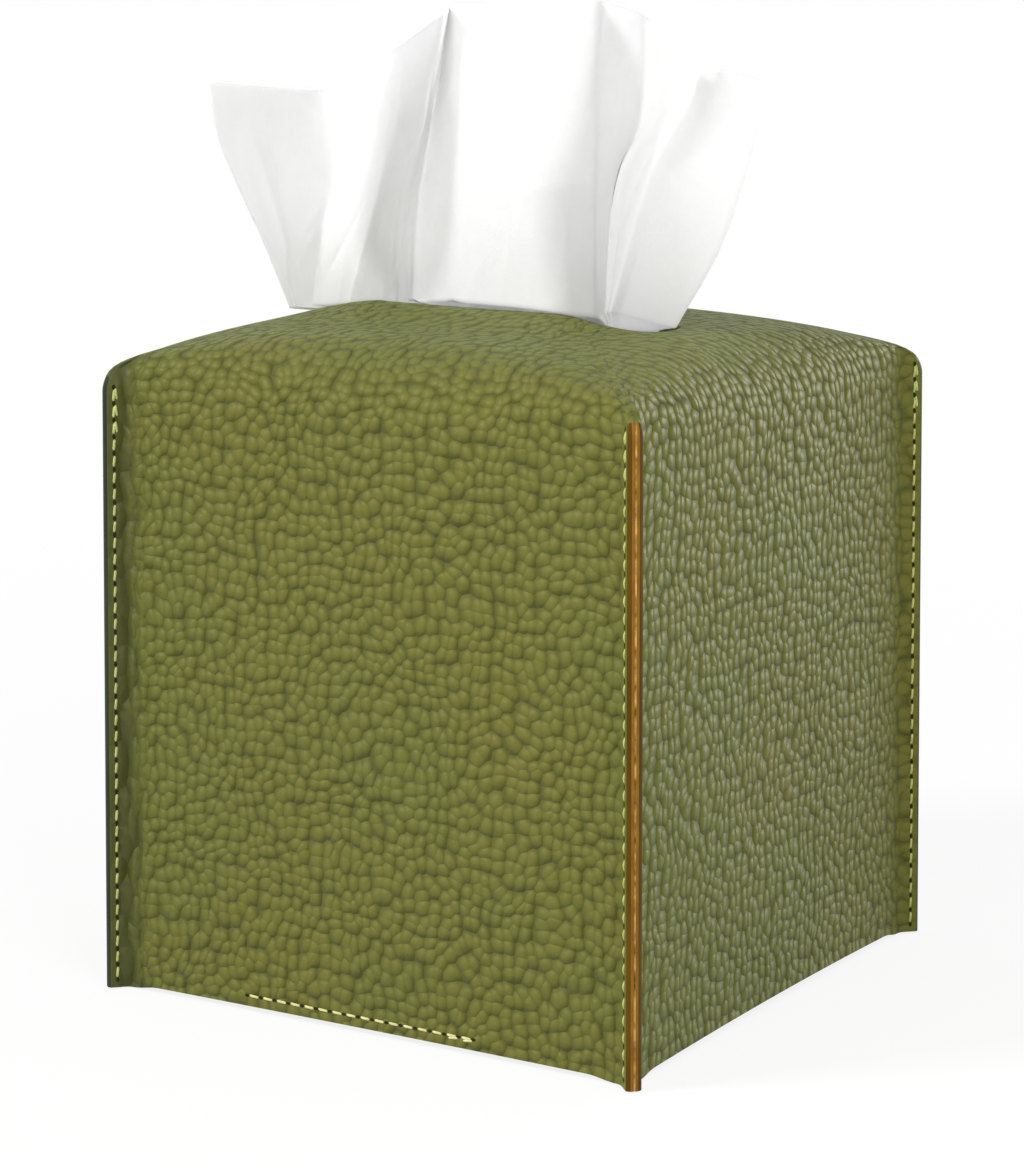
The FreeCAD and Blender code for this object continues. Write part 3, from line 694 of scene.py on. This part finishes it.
def hems():
    """Rows that hold the strap and the tab, outside on the wall and inside on the sewn-in ends."""
    for name, (side, height, left, right) in HEM_ROWS.items():
        wall = PANEL - LEAN * height
        facing = np.array([0, side, LEAN])
        for kind, depth, normal in (("needle", 0.0, facing), ("bobbin", SEWN_INSIDE, -facing)):
            place = side * (wall - depth)
            stitch_row(f"{name}_hem_{kind}_stitches", (left, place, height), (right, place, height), normal,
                       hem_yarn, "hem_thread", f"{name}_hem_{kind}_thread", HEM_TACK, HEM_SLANT)


# Strap and tab

STRAP_CORNER = 8.0
STRAP_COLUMNS = 31
STRAP_EDGE = 0.8
STRAP_SHARP_ANGLE = 50
HINGE_REACH = 56.03
SEWN_TOP, SEWN_FOOT, SEWN_SHIFT = 10.2, 1.6, 0.09
BEND_RADIUS = 1.2
LEVEL_PLAY = 0.01


def strap_path(level, length):
    """Line of a strap across the front wall: down the sewn-in end, round the bend and to the free end."""
    heights = np.linspace(level + SEWN_TOP, level + SEWN_FOOT, 8)
    sewn = np.column_stack([-HINGE_REACH + SEWN_SHIFT - LEAN * (heights - level), heights])
    turn = np.linspace(math.pi, 1.5 * math.pi, 7)
    bend = np.column_stack([-HINGE_REACH + BEND_RADIUS + BEND_RADIUS * np.cos(turn),
                            level + BEND_RADIUS + BEND_RADIUS * np.sin(turn)])
    straight = np.linspace(2 * BEND_RADIUS, length - STRAP_CORNER, 30)
    rounded = length - STRAP_CORNER * (1 - np.sin(np.linspace(0.12, math.pi / 2, 9)))
    reach = np.concatenate([straight, rounded])
    return np.concatenate([sewn, bend, np.column_stack([-HINGE_REACH + reach, np.full(len(reach), level)])])


def strap(name, sign, level, length, nodes):
    """Leather strap with rounded free corners and soft edges, bending at its hinge line."""
    path = strap_path(level, length)
    slope = np.gradient(path, axis=0)
    slope /= np.linalg.norm(slope, axis=1, keepdims=True)
    up = np.stack([-slope[:, 1], slope[:, 0]], axis=-1)
    left = np.clip(length - HINGE_REACH - path[:, 0], 0, STRAP_CORNER)
    corner = np.where(path[:, 1] < level + LEVEL_PLAY, STRAP_CORNER - left, 0)
    half = STRAP_HALF_WIDTH - STRAP_CORNER + np.sqrt(np.clip(STRAP_CORNER ** 2 - corner ** 2, 0.02, None))
    across = np.linspace(-1, 1, STRAP_COLUMNS)
    across = np.concatenate([across, across[-2:0:-1]])
    face = np.where(np.arange(len(across)) < STRAP_COLUMNS, 1.0, -1.0)
    run = np.concatenate([[0], np.cumsum(np.linalg.norm(np.diff(path, axis=0), axis=1))])
    places = np.stack(np.broadcast_arrays(across * STRAP_HALF_WIDTH, run[:, None], 0.0), axis=-1)
    points = []
    for spot, normal, width in zip(path, up, half):
        edge = np.clip((1 - np.abs(across)) * width / STRAP_EDGE, 0, 1)
        thick = STRAP_HALF_THICK * np.sqrt(1 - (1 - edge) ** 2) * face
        outward, height = (spot[axis] + normal[axis] * thick for axis in (0, 1))
        points.append(np.stack([sign * across * width, sign * outward, height], axis=-1))
    faces = grid_faces(len(points), len(across), False, True).tolist()
    count = len(points) * len(across)
    faces += [list(range(len(across))), list(range(count - len(across), count))]
    corners = [number for face in faces for number in face]
    flat = places.reshape(-1, 3)[corners]
    obj = new_object(name, np.concatenate(points), faces, [leather], None, STRAP_SHARP_ANGLE, flat)
    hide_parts(*nodes)
    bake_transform(obj)


# Refill

STACK_HALF, STACK_FOOT, STACK_TOP = 50.0, 5.2, 67.2
STACK_LAYERS = 28
STACK_POINTS = 96
STACK_MARGIN = 1.2
STACK_SINK = 0.15
# Share of a layer's height and how far its edge draws in there
LAYER_STEPS = (0.06, 0.9), (0.3, 0.1), (0.7, 0.0), (0.94, 0.8)


def tissue_stack():
    """Folded tissues: soft layers with uneven edges."""
    rng = np.random.default_rng(4)
    turn = np.linspace(0, 2 * math.pi, STACK_POINTS, endpoint=False)
    square = 1 / np.maximum(np.abs(np.cos(turn)), np.abs(np.sin(turn)))
    outline = np.stack([square * np.cos(turn), square * np.sin(turn)], axis=-1)
    step = (STACK_TOP - STACK_FOOT) / STACK_LAYERS
    rows = []
    for layer in range(STACK_LAYERS):
        shift = rng.uniform(-0.5, 0.5, 2)
        uneven = 0.35 * np.sin(turn * 7 + rng.uniform(0, 6)) + 0.25 * np.sin(turn * 13 + rng.uniform(0, 6))
        for share, draw in LAYER_STEPS:
            plan = outline * (STACK_HALF - STACK_MARGIN - draw + uneven[:, None]) + shift
            rows.append(np.column_stack([plan, np.full(len(turn), STACK_FOOT + (layer + share) * step)]))
    top = np.full(len(turn), STACK_TOP - STACK_SINK)
    for reach in (0.8, 0.5, 0.2):
        rows.append(np.column_stack([outline * STACK_HALF * reach, top]))
    faces = grid_faces(len(rows), len(turn), False, True).tolist()
    last = (len(rows) - 1) * len(turn)
    faces += [list(range(len(turn)))[::-1], list(range(last, last + len(turn)))]
    stack = new_object("folded_tissues", np.concatenate(rows), faces, [paper], None, SHARP_ANGLE)
    return dressed(stack, "refill", "tissue_paper", "tissue_stack")


# Camera

def camera_axes():
    """Eye, right, up and back of the photograph's camera."""
    yaw, rise = math.radians(AZIMUTH), math.radians(ELEVATION)
    back = np.array([math.sin(yaw) * math.cos(rise), -math.cos(yaw) * math.cos(rise), math.sin(rise)])
    right = np.array([math.cos(yaw), math.sin(yaw), 0.0])
    target = right * TARGET_SIDEWAYS + (0, 0, TARGET_HEIGHT)
    return target + back * DISTANCE, right, np.cross(back, right), back


def seen_at(pixel_x, pixel_y, depth):
    """Place of a pixel of the photograph on the upright plane at a depth along Y."""
    eye, right, up, back = camera_axes()
    way = right * (pixel_x - PHOTO_WIDTH / 2) - up * (pixel_y - PHOTO_HEIGHT / 2) - back * FOCAL_PIXELS
    return eye + way * (depth - eye[1]) / way[1]


# Tissue

# Fold lines of the pulled-up tissue, from the slot upward: pixel across, pixel down, depth along Y.
FOLD_LINES = {
    "left_edge": [(290, 308, -14), (262, 240, -22), (219, 142, -29), (208, 82, -32)],
    "wing_fold": [(313, 305, -12), (325, 230, -14.5), (340, 165, -11.5), (330, 92, -8)],
    "middle_left": [(360, 305, -12), (375, 220, -20), (390, 120, -22), (392, 52, -20)],
    "wedge_left": [(398, 302, -9.5), (402, 205, -15), (425, 115, -17), (448, 10, -15.5)],
    "wedge_valley": [(410, 302, -5), (418, 200, -3), (432, 110, -2.5), (449, 8, -4)],
    "wedge_right": [(455, 302, -8.5), (455, 200, -11), (452, 110, -11.5), (453, 5, -10.5)],
    "centre": [(525, 308, -13), (525, 200, -17), (525, 100, -18), (525, 0, -16)],
    "crisp_fold": [(598, 318, -12), (598, 220, -16), (598, 110, -17), (598, 0, -15)],
    "right_valley": [(604, 314, -1), (612, 190, 1), (640, 120, 1), (645, 14, -0.5)],
    "shoulder": [(610, 312, -2), (650, 170, -7.5), (690, 95, -7.5), (698, 78, -7)],
    "wing_left": [(620, 312, 0.5), (656, 198, -4), (698, 133, -2.5), (720, 68, -1)],
    "right_edge": [(676, 328, 2), (722, 245, 0), (752, 150, 0), (762, 80, 2)],
}
# How softly the sheet turns at each of them.
SOFT_FOLDS = [0.0, 0.5, 0.9, 0.3, 0.4, 0.3, 1.0, 0.1, 0.4, 0.4, 0.3, 0.0]
COLUMN_STEP = 0.95
FAN_ROWS = 64
NECK_ROWS = 46
BETWEEN_ROWS = 6
NECK_HALF = 28.0
NECK_NARROW = 0.9
PLEAT = 4.4
PLEAT_DEPTH = 2.7
PLEAT_DRIFT = 0.5
CRISP_BLUR, SOFT_BLUR = 1.0, 4.0
CREASES = 70
CREASE_WIDTH = 1.6
TISSUE_FOOT = 67.4
NECK_TOP = TOP - 1.2
OPENS_AT = 120.5
MOUTH_SHARE = 0.72, 0.55
MOUTH_PLACE = -1.5
TISSUE_THICK = 0.2


def through(points, count):
    """Smooth line through a few points, in equal steps from one to the next."""
    points = np.asarray(points, float)
    padded = np.concatenate([[2 * points[0] - points[1]], points, [2 * points[-1] - points[-2]]])
    place = np.linspace(0, len(points) - 1, count)
    first = np.minimum(place.astype(int), len(points) - 2)
    t = (place - first)[:, None]
    a, b, c, d = (padded[first + step] for step in range(4))
    square, cube = 2 * a - 5 * b + 4 * c - d, 3 * b - a - 3 * c + d
    return 0.5 * (2 * b + (c - a) * t + square * t ** 2 + cube * t ** 3)


def blurred(values, width):
    """Values smoothed along their second axis, their ends kept."""
    reach = int(3 * width) + 1
    weight = np.exp(-0.5 * (np.arange(-reach, reach + 1) / width) ** 2)
    weight /= weight.sum()
    start = 2 * values[:, :1] - values[:, reach:0:-1]
    stop = 2 * values[:, -1:] - values[:, -2:-reach - 2:-1]
    wide = np.concatenate([start, values, stop], axis=1)
    return sum(w * wide[:, step:step + values.shape[1]] for step, w in enumerate(weight))


def fan():
    """Grid of the tissue above the slot, its folds crisp or soft, and each column's place on the sheet."""
    lines = [through([seen_at(*spot) for spot in line], FAN_ROWS) for line in FOLD_LINES.values()]
    lines = np.stack(lines, axis=1)
    widths = np.linalg.norm(np.diff(lines[-1], axis=0), axis=1)
    places = [0.0]
    for number, width in enumerate(widths):
        steps = max(3, round(width / COLUMN_STEP))
        places += list(number + np.linspace(0, 1, steps + 1)[1:])
    places = np.array(places)
    first = np.minimum(places.astype(int), len(widths) - 1)
    share = (places - first)[None, :, None]
    grid = lines[:, first] * (1 - share) + lines[:, first + 1] * share
    soft = np.interp(places, range(len(SOFT_FOLDS)), SOFT_FOLDS)[None, :, None]
    grid = blurred(grid, CRISP_BLUR) * (1 - soft) + blurred(grid, SOFT_BLUR) * soft
    sheet_place = np.interp(places, range(len(widths) + 1), np.concatenate([[0], np.cumsum(widths)]))
    return grid, sheet_place


def neck(sheet_place, fan_foot):
    """Grid of the tissue below: pleats that pass the slit in the film and open out in the slot."""
    whole = sheet_place[-1]
    along = (sheet_place / whole - 0.5) * 2 * NECK_HALF
    rng = np.random.default_rng(7)
    count = int(whole / PLEAT)
    edges = np.concatenate([[0], np.cumsum(rng.uniform(0.6, 1.4, count))])
    phase = np.interp(sheet_place / whole * edges[-1], edges, np.arange(count + 1))
    depth = PLEAT_DEPTH * np.interp(phase, np.arange(count + 1), rng.uniform(0.75, 1.0, count + 1))
    pleats = depth * (2 / math.pi) * np.arcsin(0.96 * np.sin(math.pi * phase))
    ends = fan_foot[0, :2], fan_foot[-1, :2]
    mouth = (fan_foot[:, :2] - (ends[0] + ends[1]) / 2) * MOUTH_SHARE + (0, MOUTH_PLACE)
    rows = []
    for share in np.linspace(0, 1, NECK_ROWS):
        narrow = NECK_NARROW + (1 - NECK_NARROW) * share
        drift = PLEAT_DRIFT * np.sin(phase * 0.7 + 3.0 * share)
        height = TISSUE_FOOT + (NECK_TOP - TISSUE_FOOT) * share
        gathered = np.column_stack([along * narrow + 0.4 * drift, pleats + drift])
        opened = smooth_step((height - OPENS_AT) / (NECK_TOP - OPENS_AT))
        plan = gathered * (1 - opened) + mouth * opened
        rows.append(np.column_stack([plan, np.full(len(along), height)]))
    return np.array(rows)


def creased(grid, first_row):
    """Fine crease lines pressed into the sheet along its normals, from a row on."""
    rng = np.random.default_rng(11)
    rows, columns = grid.shape[:2]
    down = np.gradient(grid, axis=0)
    across = np.gradient(grid, axis=1)
    normal = np.cross(across, down)
    normal /= np.maximum(np.linalg.norm(normal, axis=-1, keepdims=True), 1e-9)
    y = np.arange(rows)[:, None] * COLUMN_STEP
    x = np.arange(columns)[None, :] * COLUMN_STEP
    height = np.zeros((rows, columns))
    for _ in range(CREASES):
        angle = rng.normal(math.pi / 2, 0.45)
        spot = rng.uniform(0, columns * COLUMN_STEP), rng.uniform(first_row, rows) * COLUMN_STEP
        reach = rng.uniform(8, 30)
        along = (x - spot[0]) * math.cos(angle) + (y - spot[1]) * math.sin(angle)
        aside = (x - spot[0]) * math.sin(angle) - (y - spot[1]) * math.cos(angle)
        size = rng.uniform(0.15, 0.5) * rng.choice([-1, 1])
        height += size * np.exp(-np.abs(aside) / CREASE_WIDTH) * np.clip(1 - (along / reach) ** 2, 0, 1)
    return grid + normal * height[..., None]


def tissue():
    """Tissue pulled up through the slot: one sheet, gathered below and fanned out above."""
    upper, sheet_place = fan()
    lower = neck(sheet_place, upper[0])
    ease = smooth_step(np.linspace(0, 1, BETWEEN_ROWS + 2)[1:-1, None, None])
    start, stop = lower[-1][None], upper[0][None]
    between = start + (stop - start) * ease
    between[..., 2] = (start + (stop - start) * np.sqrt(ease))[..., 2]
    grid = creased(np.concatenate([lower, between, upper]), NECK_ROWS)
    rows, columns = grid.shape[:2]
    sheet = new_object("pulled_up_tissue", grid.reshape(-1, 3), grid_faces(rows, columns), [sheer_paper])
    ply = sheet.modifiers.new("ply", "SOLIDIFY")
    ply.thickness = TISSUE_THICK * MM
    ply.offset = 0.0
    dressed(sheet, "pulled_tissue", "tissue_paper", "tissue")
    return sheet


# Stage

def camera():
    """Camera at the photograph's place."""
    eye, right, up, back = camera_axes()
    data = bpy.data.cameras.new("photo_camera")
    data.sensor_width = SENSOR
    data.lens = SENSOR * FOCAL_PIXELS / PHOTO_HEIGHT
    obj = bpy.data.objects.new("photo_camera", data)
    bpy.context.scene.collection.objects.link(obj)
    axes = np.eye(4)
    axes[:3, 0], axes[:3, 1], axes[:3, 2], axes[:3, 3] = right, up, back, eye * MM
    obj.matrix_world = Matrix(axes.tolist())
    bpy.context.scene.camera = obj


def seen_directly(tree):
    """One for rays from the camera and for those that reflect or pass through, and zero for other rays."""
    path = tree.nodes.new("ShaderNodeLightPath")
    total = path.outputs["Is Camera Ray"]
    for name in ("Is Glossy Ray", "Is Transmission Ray"):
        add = tree.nodes.new("ShaderNodeMath")
        add.operation = "MAXIMUM"
        tree.links.new(total, add.inputs[0])
        tree.links.new(path.outputs[name], add.inputs[1])
        total = add.outputs["Value"]
    return total


AMBIENT = 0.44
FLOOR_HALF, FLOOR_LEVEL = 3000.0, -0.3
# Place, aim, size and power of each lamp, in metres and watts
LAMPS = {
    "key": ((-1.2, -1.4, 1.4), (0, 0, 0.07), 0.55, 35.0),
    "side": ((0.33, -0.28, 0.42), (0.04, -0.02, 0.11), 0.2, 1.2),
    "rim": ((0.4, 1.2, 0.32), (0.02, 0, 0.1), 0.6, 7.5),
}


def world():
    """White surround, softer as a light than to the eye."""
    surround = bpy.data.worlds.new("studio")
    surround.use_nodes = True
    bpy.context.scene.world = surround
    tree = surround.node_tree
    background = tree.nodes["Background"]
    background.inputs["Color"].default_value = (1.0, 1.0, 1.0, 1.0)
    level = tree.nodes.new("ShaderNodeMapRange")
    tree.links.new(seen_directly(tree), level.inputs["Value"])
    level.inputs["To Min"].default_value = AMBIENT
    level.inputs["To Max"].default_value = 1.0
    tree.links.new(level.outputs["Result"], background.inputs["Strength"])


def floor():
    """White floor that keeps a faint shadow round the object and is plain white further off."""
    signs = (-1, -1), (1, -1), (1, 1), (-1, 1)
    corners = [(x * FLOOR_HALF, y * FLOOR_HALF, FLOOR_LEVEL) for x, y in signs]
    white = Shader("white_floor", (0.9, 0.9, 0.9), 0.9, 0.1)
    away = white.node("ShaderNodeVectorMath", {0: white.place}, operation="LENGTH").outputs["Value"]
    share = white.math("MULTIPLY", white.remap(away, 0.15, 0.7, 0.85, 1.0), seen_directly(white.tree))
    glow = white.node("ShaderNodeEmission").outputs["Emission"]
    mix = white.node("ShaderNodeMixShader", {0: share, 1: white.shader.outputs["BSDF"], 2: glow})
    white.feed(white.tree.nodes["Material Output"].inputs["Surface"], mix.outputs["Shader"])
    new_object("floor", corners, [(0, 1, 2, 3)], [white.material])


def lamp(name, spot, aim, size, power):
    """Soft square lamp that points at a place, in metres."""
    data = bpy.data.lights.new(name, "AREA")
    data.size = size
    data.energy = power
    obj = bpy.data.objects.new(name, data)
    bpy.context.scene.collection.objects.link(obj)
    obj.location = spot
    way = np.asarray(aim, float) - spot
    way /= np.linalg.norm(way)
    obj.rotation_euler = (math.acos(-way[2]), 0.0, math.atan2(way[1], way[0]) - math.pi / 2)
    return obj


def studio():
    """Camera, surround, floor and lamps."""
    camera()
    world()
    floor()
    for name, setting in LAMPS.items():
        lamp(name, *setting)
    bpy.context.scene.view_settings.view_transform = "Standard"


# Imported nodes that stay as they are

def finish_nodes():
    """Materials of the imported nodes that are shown."""
    film = Shader("clear_film", (0.85, 0.87, 0.88), 0.12, 0.5)
    film.set("Alpha", 0.35)
    film.bump(film.noise(40.0), 0.3, 0.0005)
    shown = {"carton": board, "carton_film": film.material, "loop_tape": tape_cloth, "hook_tape": tape_cloth}
    for name, material in shown.items():
        node = frame["nodes"][name]
        node.data.materials.clear()
        node.data.materials.append(material)


leather_cover()
lining()
seams()
hems()
strap("front_strap_leather", 1, 0.9, 100.06, ["front_strap_sewn_end", "front_strap"])
strap("back_tab_leather", -1, 3.75, 41.0, ["back_tab_sewn_end", "back_tab"])
tissue_stack()
tissue()
finish_nodes()
studio()
